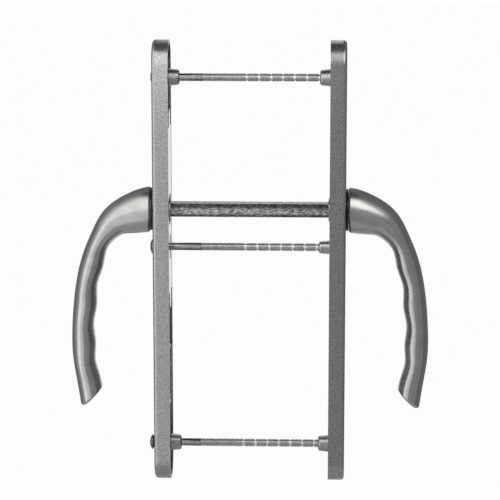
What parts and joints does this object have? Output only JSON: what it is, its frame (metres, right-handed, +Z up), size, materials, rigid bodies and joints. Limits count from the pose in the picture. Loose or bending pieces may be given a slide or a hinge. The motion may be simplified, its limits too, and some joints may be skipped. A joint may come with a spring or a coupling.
{
  "type": "lever handle on backplate",
  "caption": "Lever handles on long hollow backplates for both faces of a door, joined by a square spindle and break-off screws, with a lock cylinder cut-out below each lever.",
  "frame": {"origin": "on the spindle's axis, midway between the rims of the backplates", "axes": "+X along the spindle, away from the side with the screw heads; +Z up along the backplates; +Y across them"},
  "size_m": [0.2122, 0.028, 0.264],
  "materials": {
    "silver_paint": "silver-grey metallic paint, fine speckle",
    "satin_metal": "satin brushed",
    "black_plastic": "glossy black",
    "bright_steel": "bright plated",
    "spring_steel": "phosphated spring steel",
    "galvanised_steel": "galvanised, mottled",
    "zinc_steel": "bright zinc plated"
  },
  "bodies": {
    "backplates": {"left_backplate": "silver_paint", "left_bearing_bush": "black_plastic", "left_support_plate": "bright_steel", "left_thrust_washer": "bright_steel", "left_upper_support_screw": "bright_steel", "left_lower_support_screw": "bright_steel", "right_backplate": "silver_paint", "right_bearing_bush": "black_plastic", "right_support_plate": "bright_steel", "right_thrust_washer": "bright_steel", "right_upper_support_screw": "bright_steel", "right_lower_support_screw": "bright_steel", "top_screw": "zinc_steel", "middle_screw": "zinc_steel", "bottom_screw": "zinc_steel", "middle_screw_sleeve": "bright_steel"},
    "levers": {"left_lever": "satin_metal", "left_circlip": "spring_steel", "right_lever": "satin_metal", "right_circlip": "spring_steel", "spindle": "galvanised_steel"}
  },
  "joints": [
    {"name": "lever_turn", "type": "hinge", "parent": "backplates", "child": "levers", "pos_m": [0, 0, 0], "axis": [1, 0, 0], "continuous": true}
  ]
}
